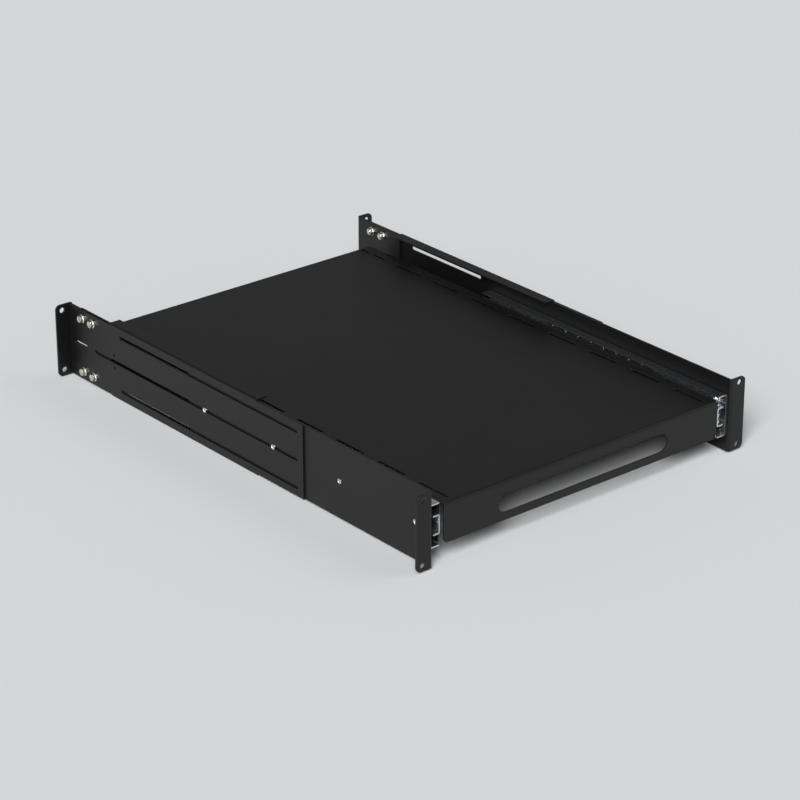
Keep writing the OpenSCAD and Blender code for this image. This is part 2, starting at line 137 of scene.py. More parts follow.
class FastenerSettings(bpy.types.PropertyGroup):
    """Bolts, screws and nuts"""
    nickel_colour: colour_setting("Nickel", "Colour of the nickel plating", "e9e7e1")
    bolt_d: length_setting("Bolt", "Diameter of the ear bolts", 5 * MM, 4 * MM, 6 * MM)
    bolt_pitch: length_setting(
        "Bolt pitch", "Pitch of the ear bolts' thread", 0.8 * MM, 0.5 * MM, 1 * MM)
    bolt_flats: length_setting(
        "Bolt flats", "Distance across the flats of bolt heads and nuts",
        8 * MM, 7.5 * MM, 9 * MM)
    flange_t: length_setting(
        "Flange", "Thickness of the flange under a head", 1.2 * MM, 0.8 * MM, 1.6 * MM)
    screw_d: length_setting(
        "Screw", "Diameter of the slide and tray screws", 4 * MM, 3 * MM, 4.2 * MM)
    screw_pitch: length_setting(
        "Screw pitch", "Pitch of the screws' thread", 0.7 * MM, 0.5 * MM, 1 * MM)
    tray_nut_flats: length_setting(
        "Tray nut flats", "Distance across the flats of the tray's nuts",
        7 * MM, 6.5 * MM, 8 * MM)
    steps: IntProperty(
        name="Steps", description="Number of steps round a fastener", default=72, min=24, max=144)


class StageSettings(bpy.types.PropertyGroup):
    """Floor, studio, lamps and camera"""
    floor_colour: colour_setting("Floor", "Colour of the floor", "d6d7d8")
    horizon_colour: colour_setting("Horizon", "Colour of the room just above the floor", "b8b9bb")
    low_colour: colour_setting("Low screens", "Colour of the lit screens at 12 degrees", "939496")
    high_colour: colour_setting("High screens", "Colour of the lit screens at 26 degrees", "8f9092")
    ceiling_colour: colour_setting("Ceiling", "Colour of the room from 50 degrees up", "2c2c2d")
    key: FloatProperty(
        name="Key lamp", description="Strength of the broad lamp on the camera's left",
        default=4.0, min=0.0, max=20.0)
    key_from: FloatVectorProperty(
        name="Key from", description="Direction from the shelf to the key lamp",
        subtype="DIRECTION", default=(-0.607, -0.504, 0.616))
    side: FloatProperty(
        name="Side lamp", description="Strength of the weak lamp in front on the right",
        default=0.35, min=0.0, max=20.0)
    side_from: FloatVectorProperty(
        name="Side from", description="Direction from the shelf to the side lamp",
        subtype="DIRECTION", default=(0.584, -0.392, 0.676))
    breadth: FloatProperty(
        name="Lamp breadth", description="Angle that each lamp fills as seen from the shelf",
        unit="ROTATION", subtype="ANGLE", default=math.radians(30), min=0.0, max=math.pi)
    camera_place: FloatVectorProperty(
        name="Camera", description="Place of the camera", subtype="TRANSLATION",
        unit="LENGTH", precision=5, default=(-2.05367, -2.14014, 1.42931))
    camera_turn: FloatVectorProperty(
        name="Camera turn", description="Rotation of the camera", subtype="EULER",
        unit="ROTATION", precision=5,
        default=[math.radians(a) for a in (65.552, 0.0, -39.912)])
    lens: FloatProperty(
        name="Lens", description="Focal length on a 36 mm sensor", unit="CAMERA",
        default=136.84, min=20.0, max=400.0)


def add_node(tree, kind, inputs=None, **settings):
    """Adds a node, sets its settings and fills its inputs with values or other nodes' outputs."""
    node = tree.nodes.new(kind)
    for name, value in settings.items():
        setattr(node, name, value)
    for name, value in (inputs or {}).items():
        if isinstance(value, bpy.types.NodeSocket):
            tree.links.new(value, node.inputs[name])
        else:
            node.inputs[name].default_value = value
    return node


def new_material(name):
    """An empty material, its node tree and the object coordinates, which are real metres."""
    material = bpy.data.materials.new(name)
    material.use_nodes = True
    tree = material.node_tree
    tree.nodes.clear()
    return material, tree, add_node(tree, "ShaderNodeTexCoord").outputs["Object"]


def solid(colour):
    """A colour with full opacity."""
    return (*colour, 1.0)


def edge_mask(tree, radius, noise, full, none):
    """The rounded normal near an edge, and a mask of the edge that a noise breaks up. The mask is
    full and gone where the rounded normal turns off the flat one by angles of these cosines."""
    rounded = add_node(tree, "ShaderNodeBevel", {"Radius": radius}, samples=6).outputs[0]
    flat = add_node(tree, "ShaderNodeNewGeometry").outputs["Normal"]
    turned = add_node(tree, "ShaderNodeVectorMath", {0: rounded, 1: flat}, operation="DOT_PRODUCT")
    edge = add_node(tree, "ShaderNodeMapRange", {
        "Value": turned.outputs["Value"], "From Min": none, "From Max": full})
    broken = add_node(tree, "ShaderNodeMath", {0: edge.outputs[0], 1: noise},
                      operation="MULTIPLY", use_clamp=True)
    return rounded, broken.outputs[0]


def black_powder_coat(coat):
    """Polyester powder, sprayed on sheet steel and baked: matt black with a fine, even tooth, soft
    waves that break up its sheen, slow drifts of tone, and a glossier film along the sheared
    edges, which are also painted paler as a painted highlight."""
    material, tree, place = new_material("black_powder_coat")
    # The real tooth is about 0.3 mm wide. It is drawn three times as coarse, so that it shows.
    tooth = add_node(tree, "ShaderNodeTexNoise", {
        "Vector": place, "Scale": 1 / coat.grain, "Detail": 2.0, "Roughness": 0.6}).outputs[0]
    ripple = add_node(tree, "ShaderNodeTexNoise", {
        "Vector": place, "Scale": 1 / coat.ripple, "Detail": 1.0}).outputs[0]
    drift = add_node(tree, "ShaderNodeTexNoise", {
        "Vector": place, "Scale": 1 / (70 * MM), "Detail": 3.0, "Roughness": 0.55}).outputs[0]
    rounded, edge = edge_mask(tree, coat.edge, ripple, full=0.80, none=0.99)
    shades = add_node(tree, "ShaderNodeMapRange", {
        "Value": drift, "From Min": 0.3, "From Max": 0.7})
    deep, pale = (tuple(c * share for c in coat.colour) for share in (0.94, 1.06))
    tone = add_node(tree, "ShaderNodeMix", {
        SHARE: shades.outputs[0], FIRST: solid(deep), SECOND: solid(pale)}, data_type="RGBA")
    specks = add_node(tree, "ShaderNodeMapRange", {
        "Value": tooth, "From Min": 0.62, "From Max": 0.8, "To Max": 0.14})
    flecked = add_node(tree, "ShaderNodeMix", {
        SHARE: specks.outputs[0], FIRST: tone.outputs[MIXED], SECOND: solid(coat.fleck_and_edge_highlight_colour)},
        data_type="RGBA")
    # Painted highlight: the edge mask mixes the paler colour onto the sheared edges
    painted_edge_highlight = add_node(tree, "ShaderNodeMix", {
        SHARE: edge, FIRST: flecked.outputs[MIXED], SECOND: solid(coat.fleck_and_edge_highlight_colour)},
        data_type="RGBA")
    gloss = add_node(tree, "ShaderNodeMapRange", {
        "Value": drift, "From Min": 0.3, "From Max": 0.7, "To Min": 0.45, "To Max": 0.43})
    edge_polish = -0.14
    rough = add_node(tree, "ShaderNodeMath", {0: edge, 1: edge_polish, 2: gloss.outputs[0]},
                     operation="MULTIPLY_ADD")
    ripple_share = 0.5
    height = add_node(tree, "ShaderNodeMath", {0: ripple, 1: ripple_share, 2: tooth},
                      operation="MULTIPLY_ADD")
    bump = add_node(tree, "ShaderNodeBump", {
        "Strength": 0.4, "Distance": 0.12 * MM, "Height": height.outputs[0], "Normal": rounded})
    surface = add_node(tree, "ShaderNodeBsdfPrincipled", {
        "Base Color": painted_edge_highlight.outputs[MIXED], "Roughness": rough.outputs[0],
        "Normal": bump.outputs[0], "IOR": 1.5, "Specular IOR Level": 0.37})
    add_node(tree, "ShaderNodeOutputMaterial", {"Surface": surface.outputs[0]})
    return material


def plated_steel(name, colour, line, roughness, edge_wear_and_highlight):
    """Steel with a thin bright plating: a metal's reflections, drawn out by fine lines along Y,
    with a film that is slightly thicker and milkier in patches, and a brighter colour at the edges
    that is partly rubbed plating and partly a painted highlight."""
    material, tree, place = new_material(name)
    line_length = 120 * line
    drawn = add_node(tree, "ShaderNodeMapping", {
        "Vector": place, "Scale": (1 / line, 1 / line_length, 1 / line)})
    lines = add_node(tree, "ShaderNodeTexNoise", {
        "Vector": drawn.outputs[0], "Scale": 1.0, "Detail": 3.0, "Roughness": 0.7}).outputs[0]
    patch = add_node(tree, "ShaderNodeTexNoise", {
        "Vector": place, "Scale": 1 / (9 * MM), "Detail": 4.0, "Roughness": 0.6}).outputs[0]
    rounded, edge = edge_mask(tree, 0.15 * MM, patch, full=0.75, none=0.99)
    dull = tuple(c * 0.72 for c in colour)
    film = add_node(tree, "ShaderNodeMapRange", {
        "Value": patch, "From Min": 0.35, "From Max": 0.7})
    tone = add_node(tree, "ShaderNodeMix", {
        SHARE: film.outputs[0], FIRST: solid(colour), SECOND: solid(dull)}, data_type="RGBA")
    # Brighter colour along the edges: partly rubbed plating, partly a painted highlight
    bright = add_node(tree, "ShaderNodeMix", {
        SHARE: edge, FIRST: tone.outputs[MIXED], SECOND: solid(edge_wear_and_highlight)}, data_type="RGBA")
    haze = add_node(tree, "ShaderNodeMapRange", {
        "Value": lines, "From Min": 0.3, "From Max": 0.7, "To Min": roughness - 0.06,
        "To Max": roughness + 0.08})
    film_haze = 0.06
    milky = add_node(tree, "ShaderNodeMath", {0: film.outputs[0], 1: film_haze, 2: haze.outputs[0]},
                     operation="MULTIPLY_ADD")
    bump = add_node(tree, "ShaderNodeBump", {
        "Strength": 0.05, "Distance": 0.02 * MM, "Height": lines, "Normal": rounded})
    surface = add_node(tree, "ShaderNodeBsdfPrincipled", {
        "Base Color": bright.outputs[MIXED], "Metallic": 1.0, "Roughness": milky.outputs[0],
        "Normal": bump.outputs[0]})
    add_node(tree, "ShaderNodeOutputMaterial", {"Surface": surface.outputs[0]})
    return material


def polished_ball_steel(colour):
    """Chrome steel, ground and lapped: a mirror, dulled in patches by the film of grease that the
    balls run in."""
    material, tree, place = new_material("polished_ball_steel")
    smear = add_node(tree, "ShaderNodeTexNoise", {
        "Vector": place, "Scale": 1 / (1.5 * MM), "Detail": 3.0}).outputs[0]
    film = add_node(tree, "ShaderNodeMapRange", {
        "Value": smear, "From Min": 0.45, "From Max": 0.65})
    greased = tuple(c * share for c, share in zip(colour, (0.78, 0.72, 0.58)))
    tone = add_node(tree, "ShaderNodeMix", {
        SHARE: film.outputs[0], FIRST: solid(colour), SECOND: solid(greased)}, data_type="RGBA")
    rough = add_node(tree, "ShaderNodeMapRange", {
        "Value": film.outputs[0], "To Min": 0.07, "To Max": 0.24})
    surface = add_node(tree, "ShaderNodeBsdfPrincipled", {
        "Base Color": tone.outputs[MIXED], "Metallic": 1.0, "Roughness": rough.outputs[0]})
    add_node(tree, "ShaderNodeOutputMaterial", {"Surface": surface.outputs[0]})
    return material


def moulded_rubber(colour):
    """Nitrile rubber from an eroded mould: dull black, softly grained, with a paler bloom on its
    high spots."""
    material, tree, place = new_material("moulded_rubber")
    grain = add_node(tree, "ShaderNodeTexNoise", {
        "Vector": place, "Scale": 1 / (0.5 * MM), "Detail": 2.0}).outputs[0]
    bloom = add_node(tree, "ShaderNodeTexNoise", {
        "Vector": place, "Scale": 1 / (5 * MM), "Detail": 3.0}).outputs[0]
    pale = tuple(c * 2.2 for c in colour)
    share = add_node(tree, "ShaderNodeMapRange", {
        "Value": bloom, "From Min": 0.45, "From Max": 0.75, "To Max": 0.6})
    tone = add_node(tree, "ShaderNodeMix", {
        SHARE: share.outputs[0], FIRST: solid(colour), SECOND: solid(pale)}, data_type="RGBA")
    rough = add_node(tree, "ShaderNodeMapRange", {"Value": bloom, "To Min": 0.66, "To Max": 0.82})
    bump = add_node(tree, "ShaderNodeBump", {
        "Strength": 0.4, "Distance": 0.05 * MM, "Height": grain})
    surface = add_node(tree, "ShaderNodeBsdfPrincipled", {
        "Base Color": tone.outputs[MIXED], "Roughness": rough.outputs[0],
        "Normal": bump.outputs[0], "IOR": 1.52})
    add_node(tree, "ShaderNodeOutputMaterial", {"Surface": surface.outputs[0]})
    return material


def matt_floor(colour):
    """Matt paper roll: a pale, even floor with the faintest tooth."""
    material, tree, place = new_material("matt_floor")
    tooth = add_node(tree, "ShaderNodeTexNoise", {
        "Vector": place, "Scale": 1 / (3 * MM), "Detail": 2.0}).outputs[0]
    bump = add_node(tree, "ShaderNodeBump", {
        "Strength": 0.05, "Distance": 0.1 * MM, "Height": tooth})
    surface = add_node(tree, "ShaderNodeBsdfPrincipled", {
        "Base Color": solid(colour), "Roughness": 0.9, "Specular IOR Level": 0.1,
        "Normal": bump.outputs[0]})
    add_node(tree, "ShaderNodeOutputMaterial", {"Surface": surface.outputs[0]})
    return material


def finish_for(name, make):
    """The material of that name, made the first time that it is asked for."""
    return bpy.data.materials.get(name) or make()


def coat_finish(scene):
    """The black coat of the tray, brackets, channels and ears."""
    return finish_for("black_powder_coat", lambda: black_powder_coat(scene.shelf_coat))


def zinc_finish(scene):
    """Zinc-plated rolled strip: satin, with the rolls' lines along the slide."""
    slides = scene.shelf_slides
    return finish_for("zinc_plated_strip", lambda: plated_steel(
        "zinc_plated_strip", tuple(slides.zinc_colour), slides.roll_line, roughness=0.24,
        edge_wear_and_highlight=linear("f6f7f8")))


def cage_finish(scene):
    """Bare cold-rolled strip: greyer and duller than the plated members."""
    slides = scene.shelf_slides
    return finish_for("bare_rolled_strip", lambda: plated_steel(
        "bare_rolled_strip", tuple(slides.cage_colour), slides.roll_line, roughness=0.42,
        edge_wear_and_highlight=linear("a4a7aa")))


def nickel_finish(scene):
    """Barrel-plated nickel on cold-headed steel: warm, bright and slightly hazy."""
    return finish_for("nickel_plated_steel", lambda: plated_steel(
        "nickel_plated_steel", tuple(scene.shelf_fasteners.nickel_colour), line=0.25 * MM,
        roughness=0.26, edge_wear_and_highlight=linear("f6f4ee")))


def dress(nodes, material):
    """Gives CAD nodes a finish. Their meshes and places stay."""
    for name in nodes:
        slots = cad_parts[name].data.materials
        slots.clear()
        slots.append(material)


def both(*stems):
    """The names of left and right nodes."""
    return [f"{stem}_{side}" for stem in stems for side in SIDES]


def lathe(profile, steps, reach=None, bored=False):
    """Turns pairs of radius and height round Z. reach(radius, height, angle) may reshape a ring,
    and a bored shape joins its last ring to its first."""
    shape = bmesh.new()
    rings = []
    for radius, height in profile:
        ring = []
        for i in range(steps):
            angle = math.tau * i / steps
            r = reach(radius, height, angle) if reach else radius
            ring.append(shape.verts.new((r * math.cos(angle), r * math.sin(angle), height)))
        rings.append(ring)
    for low, high in zip(rings, rings[1:] + rings[:1] if bored else rings[1:]):
        for i in range(steps):
            j = (i + 1) % steps
            shape.faces.new((low[i], low[j], high[j], high[i]))
    if not bored:
        shape.faces.new(list(reversed(rings[0])))
        shape.faces.new(rings[-1])
    return shape


def hexagon(flats, angle):
    """The distance from a hexagon's middle to its side at an angle."""
    return flats / 2 / math.cos((angle + math.pi / 6) % (math.pi / 3) - math.pi / 6)


def hex_rings(flats, bottom, top):
    """Rings up a hexagon's sides, close together where its chamfer cuts the corners. Their radius
    is the width across the flats, which tells hex_reach to cut them."""
    drops = (0.075, 0.06, 0.045, 0.03, 0.02, 0.01, 0)
    return [(flats, bottom)] + [(flats, top - drop * flats) for drop in drops]


def hex_reach(flats, top):
    """Cuts the rings from hex_rings to a hexagon with a 30-degree chamfer, and keeps the narrower
    rings round."""
    def reach(radius, height, angle):
        if radius < flats:
            return radius
        cone = flats * 0.47 + (top - height) / math.tan(math.radians(30))
        return min(hexagon(flats, angle), cone)
    return reach


def thread_rings(radius, pitch, start, end):
    """Rings for a thread, eight to each turn."""
    count = max(2, round((end - start) / pitch * 8))
    return [(radius, start + (end - start) * i / count) for i in range(count + 1)]


def thread_reach(major, pitch, start, end):
    """Cuts a 60-degree thread into rings of the major radius, fading in at both ends."""
    depth = 0.54 * pitch

    def reach(radius, height, angle):
        if radius < major or not start <= height <= end:
            return radius
        turn = (height / pitch - angle / math.tau) % 1.0
        fade = min(1.0, (height - start) / pitch, (end - height) / pitch)
        return radius - depth * abs(2 * turn - 1) * fade
    return reach


def threaded_shank(diameter, pitch, tip, core, start, end, steps):
    """A shank from its tip up to the origin's plane, threaded from start to end. The tip narrows
    to a core, given as a share of the radius."""
    major = diameter / 2
    rings = [(major * core, tip), (major * (core + 0.08), tip + 0.05 * MM)]
    rings += thread_rings(major, pitch, start, end) + [(major, 0)]
    return lathe(rings, steps, thread_reach(major, pitch, start, end))


def flange_rings(fasteners):
    """Rings up a flange: an eased rim and a shallow cone that ends at the hexagon's corners."""
    rim, top = FLANGE_D / 2, fasteners.flange_t
    return [(rim - 0.15 * MM, 0), (rim, 0.15 * MM), (rim, 0.5 * top),
            (rim - 0.2 * MM, 0.62 * top), (fasteners.bolt_flats * 0.585, top)]


def flange_bolt(fasteners, head_h, shank):
    """A flanged hexagon bolt along Z, its flange on the origin's plane: dished top, coned flange,
    cut thread."""
    flats, pitch = fasteners.bolt_flats, fasteners.bolt_pitch
    dish = [(flats * 0.34, head_h), (flats * 0.31, head_h - 0.12 * MM),
            (flats * 0.26, head_h - 0.3 * MM), (flats * 0.03, head_h - 0.36 * MM)]
    rings = flange_rings(fasteners) + hex_rings(flats, fasteners.flange_t, head_h) + dish
    head = lathe(rings, fasteners.steps, hex_reach(flats, head_h))
    return [head, threaded_shank(fasteners.bolt_d, pitch, -shank, core=0.72,
                                 start=-shank + 0.3 * MM, end=-shank + 5 * pitch,
                                 steps=fasteners.steps)]


def flange_nut(fasteners, head_h):
    """A flanged hexagon nut along Z, its flange on the origin's plane, bored for the bolt with
    chamfered mouths."""
    flats, bore = fasteners.bolt_flats, fasteners.bolt_d / 2 + 0.1 * MM
    rings = [(bore, 0.3 * MM), (bore + 0.3 * MM, 0)] + flange_rings(fasteners)
    rings += hex_rings(flats, fasteners.flange_t, head_h)
    rings += [(bore + 0.5 * MM, head_h), (bore, head_h - 0.45 * MM)]
    return [lathe(rings, fasteners.steps, hex_reach(flats, head_h), bored=True)]


def plain_nut(fasteners, height):
    """A hexagon nut along Z, chamfered on its outer face and round its bore."""
    flats, bore = fasteners.tray_nut_flats, fasteners.screw_d / 2 + 0.1 * MM
    rings = [(bore, 0.25 * MM), (bore + 0.25 * MM, 0), (flats * 0.46, 0)]
    rings += hex_rings(flats, 0.05 * MM, height)
    rings += [(bore + 0.45 * MM, height), (bore, height - 0.4 * MM)]
    return [lathe(rings, fasteners.steps, hex_reach(flats, height), bored=True)]


def tapered_bar(length, width, depth, top, turn):
    """A cutter for one wing pair of a cross recess: wide at its mouth and narrow at its floor."""
    shape = bmesh.new()
    bmesh.ops.create_cube(shape, size=1.0)
    for vert in shape.verts:
        mouth = vert.co.z > 0
        share = 1.0 if mouth else 0.45
        vert.co = Vector((vert.co.x * length * share, vert.co.y * width * (0.55 + 0.45 * share),
                          top if mouth else top - depth))
    shape.transform(Matrix.Rotation(turn, 4, "Z"))
    return shape


def to_object(name, shapes):
    """Joins shapes into one linked object and frees them."""
    mesh = bpy.data.meshes.new(name)
    whole = bmesh.new()
    for shape in shapes:
        part = bpy.data.meshes.new(name + "_part")
        shape.to_mesh(part)
        shape.free()
        whole.from_mesh(part)
        bpy.data.meshes.remove(part)
    whole.to_mesh(mesh)
    whole.free()
    piece = bpy.data.objects.new(name, mesh)
    bpy.context.scene.collection.objects.link(piece)
    return piece


def carve(piece, cutters):
    """Cuts other objects out of a piece for good and removes them."""
    for cutter in cutters:
        cut = piece.modifiers.new("cut", "BOOLEAN")
        cut.operation = "DIFFERENCE"
        cut.solver = "EXACT"
        cut.object = cutter
    bpy.context.view_layer.update()
    shown = piece.evaluated_get(bpy.context.evaluated_depsgraph_get())
    carved = bpy.data.meshes.new_from_object(shown)
    piece.modifiers.clear()
    old, piece.data = piece.data, carved
    bpy.data.meshes.remove(old)
    for cutter in cutters:
        bpy.data.objects.remove(cutter)
    return piece


def pan_screw(fasteners, head_d, shank):
    """A pan-head screw along Z, its head on the origin's plane, with a cross recess and a cut
    thread."""
    rim, dome, top = head_d / 2, head_d, SCREW_HEAD_H
    low = top - dome
    crown = [(rim * share, low + math.sqrt(dome ** 2 - (rim * share) ** 2))
             for share in (0.985, 0.93, 0.85, 0.75, 0.62, 0.48, 0.32, 0.16, 0.03)]
    side = [(rim - 0.1 * MM, 0), (rim, 0.1 * MM), (rim, crown[0][1] - 0.12 * MM)]
    carved = carve(to_object("pan_head", [lathe(side + crown, fasteners.steps)]), [
        to_object("recess", [tapered_bar(head_d * 0.6, head_d * 0.15, top * 0.7, top * 1.1, turn)])
        for turn in (0.0, math.pi / 2)])
    head = bmesh.new()
    head.from_mesh(carved.data)
    bpy.data.objects.remove(carved)
    return [head, threaded_shank(fasteners.screw_d, fasteners.screw_pitch, -shank, core=0.7,
                                 start=-shank + 0.25 * MM, end=-0.3 * MM, steps=fasteners.steps)]


def grooved_block(sign, inner, outer, front, back, half_h, groove):
    """A round-edged block from inner to outer beside the shelf's middle, with two grooves across
    its front face."""
    outline = [(front, -half_h)]
    for z in (-half_h / 3, half_h / 3):
        outline += [(front, z - groove / 2), (front + groove / 2, z - groove / 4),
                    (front + groove / 2, z + groove / 4), (front, z + groove / 2)]
    outline += [(front, half_h), (back, half_h), (back, -half_h)]
    block = bmesh.new()
    near = [block.verts.new((sign * inner, y, z)) for y, z in outline]
    far = [block.verts.new((sign * outer, y, z)) for y, z in outline]
    block.faces.new(near)
    block.faces.new(list(reversed(far)))
    for i, vert in enumerate(near):
        j = (i + 1) % len(near)
        block.faces.new((vert, far[i], far[j], near[j]))
    bmesh.ops.recalc_face_normals(block, faces=block.faces)
    bmesh.ops.bevel(block, geom=block.edges[:], offset=0.25 * MM, segments=3, affect="EDGES",
                    profile=0.5)
    return block


def stop_stud():
    """The stud on a stop's back, as long as the slide's strip is thick."""
    radius, end = 1.5 * MM, 1.35 * MM
    return lathe([(end, 0), (radius, 0.2 * MM), (radius, SLIDE_STRIP_T - 0.15 * MM),
                  (end, SLIDE_STRIP_T)], steps=36)


def copies(shapes, places):
    """One copy of the shapes at each place."""
    made = []
    for place in places:
        for shape in shapes:
            copy = shape.copy()
            copy.transform(place)
            made.append(copy)
    for shape in shapes:
        shape.free()
    return made


def facing(side, x, y, z, outward=True):
    """The place of a fastener on a face at x on one side, with its head out or in."""
    turn = SIDES[side] * (1 if outward else -1) * math.pi / 2
    return Matrix.Translation((SIDES[side] * x, y, z)) @ Matrix.Rotation(turn, 4, "Y")


def row(node, width, count):
    """The middles of equal heads in a row along Y, from the box that they fill."""
    low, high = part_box(node)
    first, last = low.y + width / 2, high.y - width / 2
    return [first + (last - first) * i / (count - 1) for i in range(count)]


def ear_places(side, node, face, outward=True):
    """The places of the four fasteners on a rear ear, from the box that their flanges fill."""
    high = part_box(node)[1].z - FLANGE_D / 2
    return [facing(side, face, y, z, outward)
            for y in row(node, FLANGE_D, 2) for z in (-high, high)]


def outer_x(node, outer=True):
    """How far a node's outer or inner face is from the middle of the shelf."""
    low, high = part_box(node)
    ends = sorted((abs(low.x), abs(high.x)))
    return ends[1] if outer else ends[0]


def add_piece(name, shapes, node, body, material, sharp=35):
    """Links a new piece that stands for a CAD node, rides on its body and takes its finish. Its
    edges are sharp above an angle in degrees."""
    piece = to_object(name, shapes)
    piece.data.materials.clear()
    piece.data.materials.append(material)
    for face in piece.data.polygons:
        face.material_index = 0
    piece.data.shade_smooth()
    piece.data.set_sharp_from_angle(angle=math.radians(sharp))
    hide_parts(node)
    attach(piece, body)
    return piece


class ShelfStep:
    """What all steps share."""
    bl_options = {"REGISTER", "UNDO"}


class SHELF_OT_coat_tray(ShelfStep, bpy.types.Operator):
    """Powder-coats the tray"""
    bl_idname = "shelf.coat_tray"
    bl_label = "Tray"

    def execute(self, context):
        dress(["tray"], coat_finish(context.scene))
        return {"FINISHED"}


class SHELF_OT_coat_brackets(ShelfStep, bpy.types.Operator):
    """Powder-coats the front brackets, rear channels and rear ears"""
    bl_idname = "shelf.coat_brackets"
    bl_label = "Brackets, channels and ears"

    def execute(self, context):
        dress(both("front_bracket", "rear_channel", "rear_ear"), coat_finish(context.scene))
        return {"FINISHED"}


class SHELF_OT_plate_slides(ShelfStep, bpy.types.Operator):
    """Finishes the slides' three members"""
    bl_idname = "shelf.plate_slides"
    bl_label = "Slide members"

    def execute(self, context):
        dress(both("slide_outer", "slide_middle", "slide_inner"), zinc_finish(context.scene))
        return {"FINISHED"}


class SHELF_OT_finish_ball_rows(ShelfStep, bpy.types.Operator):
    """Finishes the ball cages and their balls"""
    bl_idname = "shelf.finish_ball_rows"
    bl_label = "Ball cages and balls"

    def execute(self, context):
        colour = tuple(context.scene.shelf_slides.ball_colour)
        dress(both("outer_cage", "inner_cage"), cage_finish(context.scene))
        dress(both("outer_balls", "inner_balls"),
              finish_for("polished_ball_steel", lambda: polished_ball_steel(colour)))
        return {"FINISHED"}


class SHELF_OT_make_slide_stops(ShelfStep, bpy.types.Operator):
    """Moulds the grooved rubber stops, with the stud that holds each in the outer member's web"""
    bl_idname = "shelf.make_slide_stops"
    bl_label = "Slide stops"

    def execute(self, context):
        slides = context.scene.shelf_slides
        colour = tuple(slides.rubber_colour)
        rubber = finish_for("moulded_rubber", lambda: moulded_rubber(colour))
        for side, sign in SIDES.items():
            node = f"slide_stop_{side}"
            low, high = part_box(node)
            inner, web = outer_x(node, outer=False), outer_x(node) - SLIDE_STRIP_T
            block = grooved_block(sign, inner, web, low.y, high.y, high.z, slides.stop_groove)
            stud = stop_stud()
            stud.transform(facing(side, web, (low.y + high.y) / 2, 0))
            add_piece(f"grooved_stop_{side}", [block, stud], node, "brackets", rubber,
                      sharp=50)
        return {"FINISHED"}


class SHELF_OT_make_ear_bolts(ShelfStep, bpy.types.Operator):
    """Makes the four flanged bolts that hold each rear ear"""
    bl_idname = "shelf.make_ear_bolts"
    bl_label = "Ear bolts"

    def execute(self, context):
        fasteners = context.scene.shelf_fasteners
        for side in SIDES:
            node = f"ear_bolts_{side}"
            face = outer_x(f"rear_channel_{side}")
            bolt = flange_bolt(fasteners, outer_x(node) - face, face - outer_x(node, outer=False))
            add_piece(f"flange_bolts_{side}", copies(bolt, ear_places(side, node, face)), node,
                      f"rear_{side}", nickel_finish(context.scene))
        return {"FINISHED"}


class SHELF_OT_make_ear_nuts(ShelfStep, bpy.types.Operator):
    """Makes the flanged nuts inside each rear ear's leg"""
    bl_idname = "shelf.make_ear_nuts"
    bl_label = "Ear nuts"

    def execute(self, context):
        fasteners = context.scene.shelf_fasteners
        for side in SIDES:
            node = f"ear_nuts_{side}"
            face = outer_x(node)
            nut = flange_nut(fasteners, face - outer_x(node, outer=False))
            add_piece(f"flange_nuts_{side}",
                      copies(nut, ear_places(side, node, face, outward=False)), node,
                      f"rear_{side}", nickel_finish(context.scene))
        return {"FINISHED"}


class SHELF_OT_make_bracket_screws(ShelfStep, bpy.types.Operator):
    """Makes the pan-head screws that hold the slides and clamp the channels"""
    bl_idname = "shelf.make_bracket_screws"
    bl_label = "Slide and clamp screws"

    def execute(self, context):
        fasteners = context.scene.shelf_fasteners
        # The slide screws' heads sit on the side plate, outside the slide, and the clamp screws'
        # heads on the channel itself.
        kinds = (("slide_screws", "slide_outer", SIDE_PLATE_T), ("clamp_screws", "rear_channel", 0))
        for side in SIDES:
            for stem, seat, between in kinds:
                node = f"{stem}_{side}"
                head_d = node_size(node).z
                face = outer_x(f"{seat}_{side}") + between
                places = [facing(side, face, y, 0) for y in row(node, head_d, 2)]
                screw = pan_screw(fasteners, head_d, face - outer_x(node, outer=False))
                add_piece(f"pan_{stem}_{side}", copies(screw, places), node, "brackets",
                          nickel_finish(context.scene))
        return {"FINISHED"}


class SHELF_OT_make_tray_screws(ShelfStep, bpy.types.Operator):
    """Makes the pan-head screws inside the slides' inner members"""
    bl_idname = "shelf.make_tray_screws"
    bl_label = "Tray screws"

    def execute(self, context):
        fasteners = context.scene.shelf_fasteners
        for side in SIDES:
            node = f"tray_screws_{side}"
            head_d = node_size(node).z
            face = outer_x("tray") + SLIDE_STRIP_T
            places = [facing(side, face, y, 0) for y in row(node, head_d, 3)]
            screw = pan_screw(fasteners, head_d, face - outer_x(node, outer=False))
            add_piece(f"pan_tray_screws_{side}", copies(screw, places), node, "shelf",
                      nickel_finish(context.scene))
        return {"FINISHED"}


class SHELF_OT_make_tray_nuts(ShelfStep, bpy.types.Operator):
    """Makes the nuts inside the tray's side walls"""
    bl_idname = "shelf.make_tray_nuts"
    bl_label = "Tray nuts"

    def execute(self, context):
        fasteners = context.scene.shelf_fasteners
        for side in SIDES:
            node = f"tray_nuts_{side}"
            face = outer_x(node)
            # A corner of each hexagon points along Z, and its flats face along Y.
            flats = node_size(node).z * FLATS_SHARE
            places = [facing(side, face, y, 0, outward=False) for y in row(node, flats, 3)]
            nut = plain_nut(fasteners, face - outer_x(node, outer=False))
            add_piece(f"hex_nuts_{side}", copies(nut, places), node, "shelf",
                      nickel_finish(context.scene))
        return {"FINISHED"}


def add_lamp(name, strength, direction, breadth):
    """A broad lamp so far off that it lights the floor and the shelf evenly."""
    lamp = bpy.data.lights.new(name, "SUN")
    lamp.energy = strength
    lamp.angle = breadth
    holder = bpy.data.objects.new(name, lamp)
    holder.rotation_euler = Vector(direction).to_track_quat("Z", "Y").to_euler()
    bpy.context.scene.collection.objects.link(holder)


